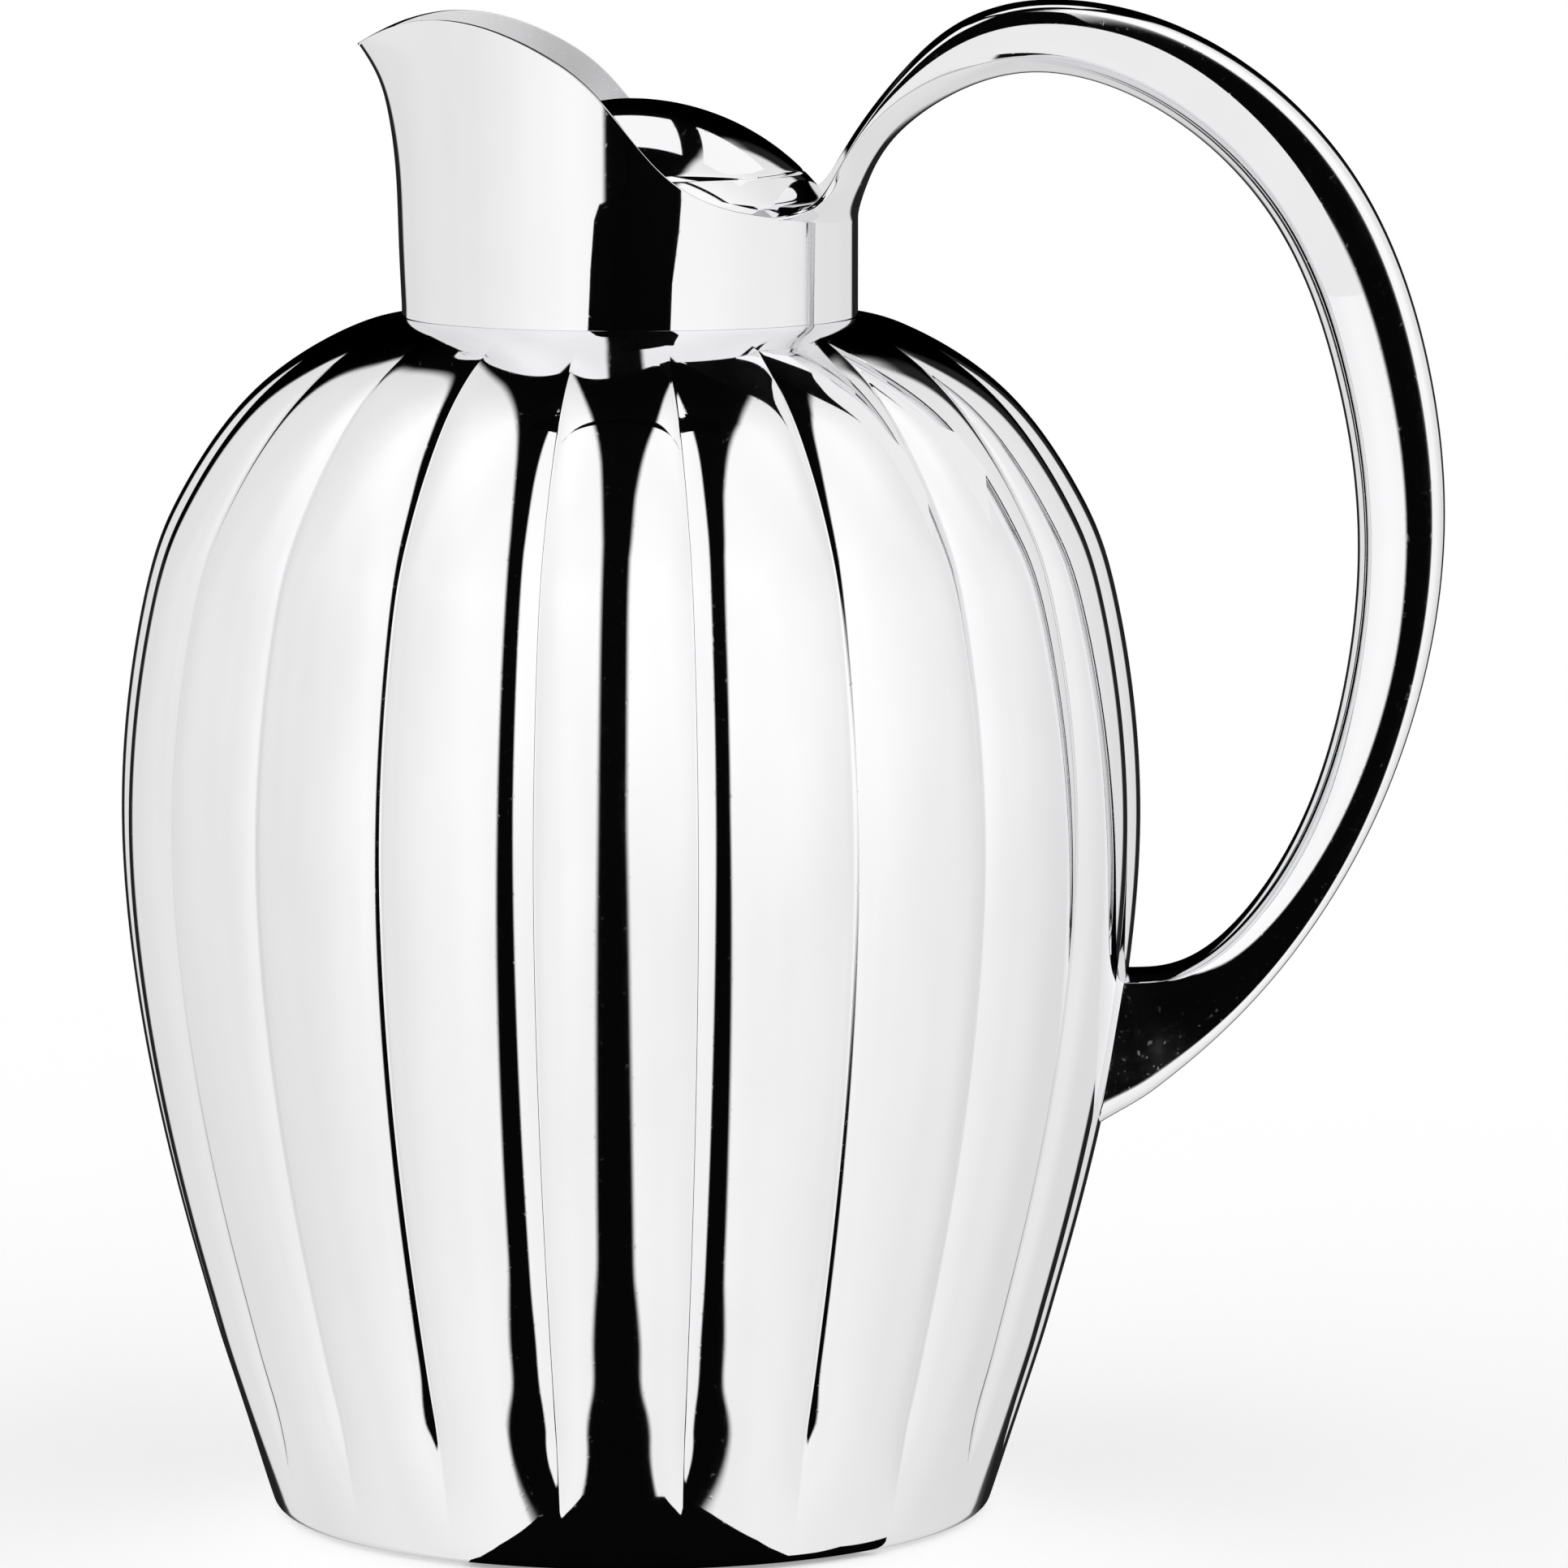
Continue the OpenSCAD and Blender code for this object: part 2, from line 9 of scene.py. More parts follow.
import bmesh
import bpy
import numpy as np
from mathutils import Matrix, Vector


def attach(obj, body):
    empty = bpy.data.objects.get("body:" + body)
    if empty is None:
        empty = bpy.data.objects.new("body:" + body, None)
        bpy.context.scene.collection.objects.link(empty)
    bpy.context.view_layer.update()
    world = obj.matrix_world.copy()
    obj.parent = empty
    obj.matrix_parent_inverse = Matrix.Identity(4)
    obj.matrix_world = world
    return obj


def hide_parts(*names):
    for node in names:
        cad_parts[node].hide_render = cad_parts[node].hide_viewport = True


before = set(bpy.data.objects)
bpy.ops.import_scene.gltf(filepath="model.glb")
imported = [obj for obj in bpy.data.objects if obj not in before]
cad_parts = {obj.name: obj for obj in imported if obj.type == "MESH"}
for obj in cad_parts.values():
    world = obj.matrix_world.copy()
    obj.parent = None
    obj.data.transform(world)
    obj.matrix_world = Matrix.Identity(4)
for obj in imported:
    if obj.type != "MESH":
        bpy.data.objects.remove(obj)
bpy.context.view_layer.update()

MM = 0.001

# ------------------------------------------------------------------ sizes, mm
LOBES = 20
LOBE_DEPTH = 2.1
LOBE_EDGE = 0.32
LOBE_REF_R = 81.0
LOBE_STEP = 2 * math.pi / LOBES
CREASE_SOFT = 0.02
WALL = 1.2
FOOT_Z = 0.6
FOOT_R = 52.5
FOOT_BEND = 55.6
NECK_R = 36.0
NECK_WALL = 1.2
STRAP_SOFT = 0.6
SEAM_Z = 190.5
SEAM_GAP = 0.3
SEAM_DEPTH = 1.0
BEAK_WIDTH = 20.0
BEAK_TOP = 240.0
RIM_EDGE = 0.38
DOME_R = 38.85
DOME_TOP = 224.6
DOME_Z = DOME_TOP - DOME_R
LID_R = 27.3
COLLAR_R = 31.2
PIN_Z = 207.0
PART_GAP = 0.3

# Crest line of the body's side, (radius, height)
SIDE = [(57.5, 2), (66, 27.5), (67, 31.5), (76.5, 65), (83, 112), (77, 149.5), (72.5, 161),
        (60.5, 180), (42.5, 190), (NECK_R + 0.1, SEAM_Z)]
# Middle line of the handle's inner face and its outer edge, (x, height)
GRIP_IN = [(36, 205.5), (36, 206.5), (39.5, 218.5), (55, 228.5), (69.5, 229.5), (87, 222),
           (103.5, 205.5), (112.5, 180.5), (117, 150), (109.5, 110.5), (91.5, 86.5), (79, 86.5)]
GRIP_OUT = [(23.5, 207.5), (30, 208), (34, 218), (50, 239), (71.5, 241.5), (94.5, 234),
            (116.5, 213.5), (127.5, 183), (130.5, 148), (119.5, 108.5), (98, 78), (75, 61)]
GRIP_WIDTH = [27.2, 24, 14, 9.5, 8.6, 8.2, 8, 7.8, 7.5, 7.2, 7, 7.4]
GRIP_CROWN = [11.5, 8, 3.4, 2.8, 2.7, 2.5, 2.2, 1.8, 1.5, 1.4, 1.4, 1.6]
# Rim height over x, and the beak's reach over height
RIM = [(-42.8, 233.3), (-37, 236.6), (-29, 238.2), (-20, 236.5), (-10, 231.8), (-3, 226),
       (5, 214.5), (14, 209), (23.6, 207.4)]
BEAK = [(0, 192), (0.5, 202), (0.7, 213), (1.7, 221), (3.2, 228), (6.9, 233.5)]
ROOT_HALF = math.acos(23.6 / NECK_R)


# --------------------------------------------------------------------- curves
def _knots(points):
    p = np.asarray(points, float).reshape(len(points), -1)
    return np.vstack([2 * p[0] - p[1], p, 2 * p[-1] - p[-2]])


def _weigh(points, t, weights):
    t = np.asarray(t, float)
    i = np.clip(np.floor(t).astype(int), 0, len(points) - 2)
    q = _knots(points)
    return sum(w * q[i + k] for k, w in enumerate(weights((t - i)[..., None])))


def spline(points, t):
    """A cubic B-spline through its first and last points, t from 0 to len - 1."""
    return _weigh(points, t, lambda u: (
        (1 - u) ** 3 / 6, (3 * u ** 3 - 6 * u ** 2 + 4) / 6,
        (-3 * u ** 3 + 3 * u ** 2 + 3 * u + 1) / 6, u ** 3 / 6))


def spline_slope(points, t):
    return _weigh(points, t, lambda u: (
        -(1 - u) ** 2 / 2, (3 * u ** 2 - 4 * u) / 2, (-3 * u ** 2 + 2 * u + 1) / 2, u ** 2 / 2))


def ease(x):
    u = np.clip(x, 0, 1)
    return u * u * (3 - 2 * u)


def spline_at(points, axis, value):
    """The other coordinate of a curve where coordinate axis has this value."""
    t = np.linspace(0, len(points) - 1, 4001)
    return spline(points, np.interp(value, spline(points, t)[:, axis], t))[..., 1 - axis]


def bezier(a, b, c, n):
    """n + 1 points from a to c, leaving towards b and arriving from b."""
    u = np.linspace(0, 1, n + 1)[:, None]
    return (1 - u) ** 2 * np.asarray(a) + 2 * u * (1 - u) * np.asarray(b) + u ** 2 * np.asarray(c)


def rounded(outline, steps=5, closed=True):
    """An outline of (r, z, rounding) corners as a dense line with rounded corners."""
    pts = [np.array(p[:2], float) for p in outline]
    soft = [p[2] if len(p) > 2 else 0 for p in outline]
    n, line = len(pts), []
    for i, p in enumerate(pts):
        if not closed and i in (0, n - 1) or not soft[i]:
            line.append(p)
            continue
        a, b = pts[i - 1] - p, pts[(i + 1) % n] - p
        la, lb = np.linalg.norm(a), np.linalg.norm(b)
        d = min(soft[i], la * 0.49, lb * 0.49)
        line.extend(bezier(p + a / la * d, p, p + b / lb * d, steps))
    return np.array(line)


# --------------------------------------------------------------------- meshes
class Skin:
    """Grids of points that weld into one mesh where their edges meet."""

    def __init__(self):
        self.points, self.faces, self.count = [], [], 0

    def grid(self, points, wrap=False, flip=False):
        """A sheet of quads over a (rows, columns, 3) grid, joined round if wrap."""
        rows, cols = points.shape[:2]
        i = np.arange(rows - 1)[:, None]
        j = np.arange(cols if wrap else cols - 1)[None]
        k = (j + 1) % cols
        quad = np.stack([i * cols + j, i * cols + k, (i + 1) * cols + k, (i + 1) * cols + j], -1)
        quad = quad.reshape(-1, 4) + self.count
        self.faces.append(quad[:, ::-1] if flip else quad)
        self.points.append(points.reshape(-1, 3))
        self.count += rows * cols

    def build(self, name, weld=0.002):
        """The welded mesh object, in metres, with every face smooth."""
        points = np.vstack(self.points)
        faces = np.vstack(self.faces)
        _, first, back = np.unique(np.round(points / weld).astype(np.int64), axis=0,
                                   return_index=True, return_inverse=True)
        faces = back.reshape(-1)[faces]
        loops = []
        for f in faces.tolist():
            f = [v for n, v in enumerate(f) if v != f[n - 1]]
            if len(set(f)) == len(f) > 2:
                loops.append(f)
        mesh = bpy.data.meshes.new(name)
        mesh.from_pydata((points[first] * MM).tolist(), [], loops)
        mesh.polygons.foreach_set("use_smooth", np.ones(len(mesh.polygons), bool))
        mesh.update()
        obj = bpy.data.objects.new(name, mesh)
        bpy.context.scene.collection.objects.link(obj)
        return obj


def face_outward(obj):
    """Turns every face of a closed skin to point outwards."""
    bm = bmesh.new()
    bm.from_mesh(obj.data)
    bmesh.ops.recalc_face_normals(bm, faces=bm.faces)
    bm.to_mesh(obj.data)
    bm.free()
    obj.data.update()


def polar(r, z, phi):
    """Rings of (r, z) lines about the axis: a (len(r), len(phi), 3) grid."""
    r, z = np.asarray(r, float)[:, None], np.asarray(z, float)[:, None]
    return np.stack(np.broadcast_arrays(r * np.cos(phi), r * np.sin(phi), z), -1)


def full_turn(n):
    """n even angles round the axis."""
    return np.arange(n) * 2 * math.pi / n


# ----------------------------------------------------------------------- body
def lobe_fall(phi):
    """0 on a lobe's crest and 1 in the crease, whose bottom is slightly rounded."""
    s = np.abs((phi + LOBE_STEP / 2) % LOBE_STEP - LOBE_STEP / 2) / (LOBE_STEP / 2)

    def raw(x):
        return (1 - LOBE_EDGE) * x ** 2 + LOBE_EDGE * x ** 6

    start = 1 - CREASE_SOFT
    steep = 2 * (1 - LOBE_EDGE) * start + 6 * LOBE_EDGE * start ** 5
    x = np.maximum(s - start, 0)
    return raw(np.minimum(s, start)) + steep * (x - x ** 2 / (2 * CREASE_SOFT))


def lobe_depth(r, z):
    return LOBE_DEPTH * r / LOBE_REF_R * ease((z - 3) / 20) * ease((r - 40) / 26)


def shell(t, phi, inset=0.0):
    """Points of the lobed shell at t along its side line, inset along its normal."""
    p, d = spline(SIDE, t), spline_slope(SIDE, t)
    d /= np.linalg.norm(d, axis=-1, keepdims=True)
    off = lobe_depth(p[:, 0], p[:, 1])[:, None] * lobe_fall(phi)[None] + inset
    r = p[:, :1] - d[:, 1:] * off
    z = p[:, 1:] + d[:, :1] * off
    return np.stack(np.broadcast_arrays(r * np.cos(phi), r * np.sin(phi), z), -1)


def lobe_angles():
    """Angles round the body, closer together near each crease."""
    half = np.concatenate([np.linspace(0, 0.9, 10), [0.95, 0.98, 0.99]])
    one = np.concatenate([half, [1.0], -half[:0:-1]]) * LOBE_STEP / 2
    one = np.where(one < 0, one + LOBE_STEP, one)
    return np.concatenate([one + i * LOBE_STEP for i in range(LOBES)])


def make_body():
    phi = lobe_angles()
    top = len(SIDE) - 1
    t_end = np.interp(-(NECK_R + SEAM_GAP + 0.3),
                      -spline(SIDE, np.linspace(0, top, 4001))[:, 0], np.linspace(0, top, 4001))
    t = np.linspace(0, t_end, 150)
    foot = bezier((FOOT_BEND, FOOT_Z), (57.03, FOOT_Z), (57.5, 2), 6)[:-1]
    end = spline(SIDE, [t_end])[0]
    lip = bezier(end, (NECK_R + SEAM_GAP, end[1] + 0.05),
                 (NECK_R + SEAM_GAP, end[1] - 0.35), 5)[1:]
    inner_t = np.linspace(t_end, 0, 14)
    skin = Skin()
    outside = np.concatenate([
        polar([FOOT_R, (FOOT_R + FOOT_BEND) / 2], [FOOT_Z, FOOT_Z], phi),
        polar(foot[:, 0], foot[:, 1], phi), shell(t, phi), polar(lip[:, 0], lip[:, 1], phi)])
    inside = np.concatenate([
        polar([NECK_R + SEAM_GAP], [end[1] - SEAM_DEPTH], phi), shell(inner_t[1:], phi, WALL),
        polar([FOOT_BEND + 0.4, FOOT_R], [FOOT_Z + WALL, FOOT_Z + WALL], phi)])
    ring = np.concatenate([outside, inside, outside[:1]])
    skin.grid(ring, wrap=True)
    obj = skin.build("body")
    face_outward(obj)
    return obj


# ------------------------------------------------------------ neck and handle
def beak_reach(z):
    return spline_at(BEAK, 1, np.minimum(z, BEAK_TOP))


def neck_out(phi, z):
    """Outer radius of the neck, drawn out into the beak about phi = pi."""
    away = np.abs(np.degrees(np.abs((phi + math.pi) % (2 * math.pi) - math.pi)) - 180)
    return NECK_R + beak_reach(z) * np.exp(-(away / BEAK_WIDTH) ** 1.5)


def rim_z(x, phi):
    root = 205.5 + 0.16 * NECK_R * (1 - np.cos(phi))
    return np.where(np.cos(phi) > math.cos(ROOT_HALF) + 1e-9, root,
                    spline_at(RIM, 0, np.minimum(x, RIM[-1][0])))


def rim_at(phi):
    z = np.full_like(phi, 225.0)
    for _ in range(30):
        z = rim_z(neck_out(phi, z) * np.cos(phi), phi)
    return z


def neck_columns(phi, top, inset, z_low, rows):
    """A wall of the neck from z_low up to its top line, one column per angle."""
    u = np.linspace(0, 1, rows)[:, None]
    z = z_low + (top - z_low)[None] * u
    r = neck_out(phi[None] + 0 * z, z) - inset
    return np.stack([r * np.cos(phi), r * np.sin(phi), z], -1)


# Samples along half a section of the handle: across each face, round the crease, up the
# side band and round the outer edge; and how far out the side's ridge is
N_FACE, N_CREASE, N_BAND, N_RIM = 22, 4, 12, 6
N_EDGE = N_CREASE + N_BAND + N_RIM
RIDGE = 0.78
# The strap comes away from the neck, and turns into a grip, over these stretches of t
FADE_T, LEAVE_T = 1.0, 1.4
# How far the handle's lower end reaches into the body, and over which last stretch of t
DEEP, DEEP_T = 1.2, 0.35


def lengths(line):
    """Distance along a line at each of its points."""
    return np.concatenate([[0], np.cumsum(np.linalg.norm(np.diff(line, axis=0), axis=1))])


def on(line, s):
    """Points of a line at distances s along it."""
    step = lengths(line)
    return np.stack([np.interp(s, step, line[:, 0]), np.interp(s, step, line[:, 1])], -1)


def even(line, n=220):
    return on(line, np.linspace(0, lengths(line)[-1], n))


def strap_wall(gap, t):
    """Wall of the strap, which stays at least as thick as the neck's."""
    return (gap + NECK_WALL) / 2 + np.hypot(gap - NECK_WALL, STRAP_SOFT * ease(t)) / 2


def half_section(t, w, c, high):
    """Half a section of the handle, from the middle of its inner face round to the middle
    of its outer one, as (y, h). A plain strap at the neck turns into a grip that is widest
    near its outer side; the crease and the strap's edge are slightly rounded."""
    turn, end, lip = ease((t - 0.6) / 2.4), ease((t - 8.2) / 2.2), high - c
    narrow = 0.76 + 0.16 * end
    power = 2.4 + 2.1 * end
    v = np.sin(np.linspace(0, math.pi / 2, 241))
    s = np.linspace(0, RIDGE, 241)
    u = 1 - (1 - np.linspace(0, 1, 400)) ** 2
    strap_edge = np.stack([w + 0 * s, c + lip * s / RIDGE], -1)
    strap_face = np.stack([w * v[::-1], c * v[::-1] ** 2 + lip], -1)
    flank = np.stack([w * (1 - (1 - narrow) * ((RIDGE - s) / RIDGE) ** power), c + lip * s], -1)
    cap = np.stack([w * np.sqrt(np.maximum(0, 1 - u ** 4)), c + lip * (RIDGE + (1 - RIDGE) * u)],
                   -1)
    side = (1 - turn) * even(strap_edge) + turn * even(flank)
    outer = (1 - turn) * even(strap_face) + turn * even(cap)
    inner = np.stack([side[0, 0] * v, c * v ** 2], -1)
    l_in, l_side, l_out = lengths(inner)[-1], lengths(side)[-1], lengths(outer)[-1]
    soft_a = min(0.4, 0.35 * l_side)
    soft_b = min(RIM_EDGE * (1.2 - turn), 0.45 * l_side)
    share = np.linspace(0, 1, N_FACE + 1)
    share = 0.35 * share + 0.65 * np.sin(share * math.pi / 2)
    part_in = on(inner, share * (l_in - soft_a))
    part_side = on(side, np.linspace(soft_a, l_side - soft_b, N_BAND + 1))
    part_out = on(outer, soft_b + (1 - share[::-1]) * (l_out - soft_b))
    crease = bezier(part_in[-1], side[0], part_side[0], N_CREASE)
    rim = bezier(part_side[-1], side[-1], part_out[0], N_RIM)
    return np.vstack([part_in, crease[1:], part_side[1:], rim[1:], part_out[1:]])


def half_sections(t):
    a, b = spline(GRIP_IN, t), spline(GRIP_OUT, t)
    high = np.linalg.norm(b - a, axis=-1)
    width = spline(GRIP_WIDTH, t)[:, 0]
    crown = high - strap_wall(high - spline(GRIP_CROWN, t)[:, 0], t)
    rows = [half_section(*each) for each in zip(t, width, crown, high)]
    return a, b, high, np.array(rows)


def grip_rings(t):
    """Half rings of the handle on its +Y side, a (len(t), samples, 3) grid."""
    a, b, high, half = half_sections(t)
    n = (b - a) / high[:, None]
    q = a[:, None] + n[:, None] * half[..., 1:]
    return np.stack([q[..., 0], half[..., 0], q[..., 1]], -1)


def rim_strip(phi, rows):
    """The rim's rounded edge from the outer wall over to the inner one."""
    top = rim_at(phi)
    line = rounded([(0, -RIM_EDGE, 0), (0, 0, RIM_EDGE), (NECK_WALL, 0, RIM_EDGE),
                    (NECK_WALL, -RIM_EDGE, 0)], 40, closed=False)
    step = lengths(line)
    s = np.linspace(0, step[-1], rows)
    inset, drop = np.interp(s, step, line[:, 0]), np.interp(s, step, line[:, 1])
    r = neck_out(phi, top)[None] - inset[:, None]
    z = top[None] + drop[:, None]
    return np.stack([r * np.cos(phi), r * np.sin(phi), z], -1)


def shell_crest_r(z):
    return spline_at(SIDE, 1, z)


def root_angles(y, widest):
    """Angles round the neck that the samples of the handle's first ring stand at."""
    return np.arcsin(np.clip(y / widest, 0, 1) * math.sin(ROOT_HALF))


def root_top(phi):
    """Top line of the neck's walls under the handle's root."""
    return rim_at(phi) - RIM_EDGE * (np.abs(phi) / ROOT_HALF) ** 4


def join_to_neck(half, t, phi_in, phi_out):
    """The first ring lies on the neck's top line, and the strap leaves the neck gently."""
    strip = rim_strip(np.array([ROOT_HALF]) + 1e-6, N_EDGE + 1)[:, 0]
    outer_top = neck_columns(phi_in, root_top(phi_in), 0, SEAM_Z, 2)[-1]
    inner_top = neck_columns(phi_out, root_top(phi_out), NECK_WALL, SEAM_Z, 2)[-1]
    outer_top[-1], inner_top[0] = strip[0], strip[-1]
    first = np.vstack([outer_top, strip[1:], inner_top[1:]])
    fade = 1 - ease(t / FADE_T)
    half = half + (first - half[0])[None] * fade[:, None, None]
    for ring, at in zip(half, t[t < LEAVE_T]):
        x, y = ring[:, 0].copy(), ring[:, 1]
        face = slice(0, N_FACE + 1)
        reach = np.hypot(x[face], y[face])
        pull = (NECK_R + (reach - NECK_R) * ease(at / LEAVE_T)) / reach - 1
        ring[:, 0] = x + np.interp(y, y[face], pull * x[face])
    return half


def sink_into_body(half, t):
    """The lower end runs a little way into the body."""
    into = ease((t - (t[-1] - DEEP_T)) / DEEP_T)[:, None]
    hit = np.sqrt(np.maximum((shell_crest_r(half[-1, :, 2]) - DEEP) ** 2 - half[-1, :, 1] ** 2, 0))
    half[..., 0] += into * (hit - half[-1, :, 0])[None]
    return half


def add_handle(skin, half):
    """Both halves of the handle and the caps inside the body."""
    other = half * [1, -1, 1]
    skin.grid(half)
    skin.grid(other, flip=True)
    middle = half[-1].mean(0) * [1, 0, 1]
    for side, flip in ((half[-1], False), (other[-1], True)):
        skin.grid(np.stack([side, np.broadcast_to(middle, side.shape)]), flip=flip)


def spout_angles():
    """Angles round the neck beyond the handle's root, closer together at the beak's tip."""
    beak = np.array([0, 0.3, 0.6, 1, 1.4, 1.9, 2.5, 3.2, 4])
    side_phi = np.degrees(ROOT_HALF) + (176 - np.degrees(ROOT_HALF)) * np.linspace(0, 1, 150)
    deg = np.concatenate([side_phi[:-1], 180 - beak[::-1]])
    rest = np.radians(np.concatenate([deg, 360 - deg[-2::-1]]))
    rest[0], rest[-1] = ROOT_HALF + 1e-6, 2 * math.pi - ROOT_HALF - 1e-6
    return rest


def add_neck(skin, phi_in, phi_out):
    """The neck's walls and rim, round the spout and under the handle's root."""
    rest = spout_angles()
    low, rows = SEAM_Z - SEAM_DEPTH, 60
    wall_out = neck_columns(rest, rim_at(rest) - RIM_EDGE, 0, low, rows)
    wall_in = neck_columns(rest, rim_at(rest) - RIM_EDGE, NECK_WALL, low, rows)
    root_out = neck_columns(phi_in, root_top(phi_in), 0, low, rows)
    root_in = neck_columns(phi_out, root_top(phi_out), NECK_WALL, low, rows)
    root_out[:, -1], root_in[:, 0] = wall_out[:, 0], wall_in[:, 0]
    skin.grid(wall_out)
    skin.grid(wall_in, flip=True)
    skin.grid(rim_strip(rest, N_EDGE + 1))
    for wall in (root_out, root_in):
        skin.grid(wall)
        skin.grid(wall * [1, -1, 1], flip=True)
    skin.grid(np.stack([wall_out[0], wall_in[0]]), flip=True)
    for sign, flip in ((1, False), (-1, True)):
        out_low = root_out[0] * [1, sign, 1]
        in_low = root_in[0][::-1] * [1, sign, 1]
        at = np.linspace(0, 1, len(out_low))
        in_low = np.stack([np.interp(at, np.linspace(0, 1, len(in_low)), in_low[:, i])
                           for i in range(3)], -1)
        skin.grid(np.stack([out_low, in_low]), flip=flip)


def make_neck_and_handle():
    """Neck, spout and handle as one skin: the neck's walls run up into the handle's faces."""
    t = np.concatenate([np.linspace(0, 4, 130), np.linspace(4, len(GRIP_IN) - 1, 150)[1:]])
    half = grip_rings(t)
    start = N_FACE + N_EDGE
    phi_in = root_angles(half[0, :N_FACE + 1, 1], half[0, N_FACE, 1])
    phi_out = root_angles(half[0, start:, 1], half[0, start, 1])
    skin = Skin()
    add_handle(skin, sink_into_body(join_to_neck(half, t, phi_in, phi_out), t))
    add_neck(skin, phi_in, phi_out)
    obj = skin.build("neck_and_handle")
    face_outward(obj)
    return obj


# --------------------------------------------------------------- turned parts
def dome_z(r):
    return DOME_Z + math.sqrt(DOME_R ** 2 - r ** 2)


def dome_arc(r_low, r_high, drop, n):
    """n points of the dome's arc, drop under its surface."""
    r = np.linspace(r_low, r_high, n)
    k = 1 - drop / DOME_R
    return np.stack([r * k, DOME_Z + np.sqrt(DOME_R ** 2 - r ** 2) * k], -1)


def pin_arc(radius, low, high, n):
    """n points of an arc about the pin, between two heights over it."""
    h = np.linspace(low, high, n)
    return np.stack([np.sqrt(radius ** 2 - h ** 2), PIN_Z + h], -1)


LID_H = dome_z(LID_R) - PIN_Z
LID_BALL = math.hypot(LID_R, LID_H)
SOCKET = LID_BALL + PART_GAP


def lathe(name, line, around=256):
    """A piece turned about the axis from a closed line."""
    skin = Skin()
    line = np.vstack([line, line[:1]])
    skin.grid(polar(line[:, 0], line[:, 1], full_turn(around)), wrap=True)
    obj = skin.build(name)
    face_outward(obj)
    return obj


def make_lid_dome():
    sheet, edge = 0.6, 0.45
    outer = dome_arc(0, LID_R - edge, 0, 60)
    corner = bezier(outer[-1], (LID_R, dome_z(LID_R)), pin_arc(LID_BALL, LID_H - edge, 0, 2)[0], 6)
    skirt = pin_arc(LID_BALL, LID_H - edge, LID_H - 3.4, 10)[1:]
    inner_skirt = pin_arc(LID_BALL - sheet, LID_H - 3.4, LID_H - 1.4, 8)
    inner = dome_arc(0, LID_R - sheet - 0.6, sheet, 24)[::-1]
    return lathe("lid_shell", np.vstack([outer, corner[1:], skirt, inner_skirt, inner]))


def make_collar():
    sheet, edge = 0.9, 0.4
    in_r = LID_R + PART_GAP
    under_r = COLLAR_R - sheet
    lip_h = dome_z(in_r) - PIN_Z - 0.1
    top = dome_arc(in_r + 0.25, COLLAR_R - 0.5, 0, 16)
    brow = bezier(top[-1], (COLLAR_R, dome_z(COLLAR_R)), (COLLAR_R, dome_z(COLLAR_R) - 0.6), 6)[1:]
    skirt_z = PIN_Z - 3.6
    foot = bezier((COLLAR_R, skirt_z + edge), (COLLAR_R, skirt_z), (COLLAR_R - edge, skirt_z), 4)
    under = dome_arc(under_r, in_r + 1.2, sheet, 8)
    lip = pin_arc(SOCKET, lip_h - 1.1, lip_h - 0.2, 4)
    close = bezier(lip[-1], (in_r, dome_z(in_r)), top[0], 5)[1:-1]
    line = np.vstack([top, brow, foot, [(under_r, skirt_z), (under_r, PIN_Z + 2)],
                      under, lip, close])
    return lathe("collar", line)


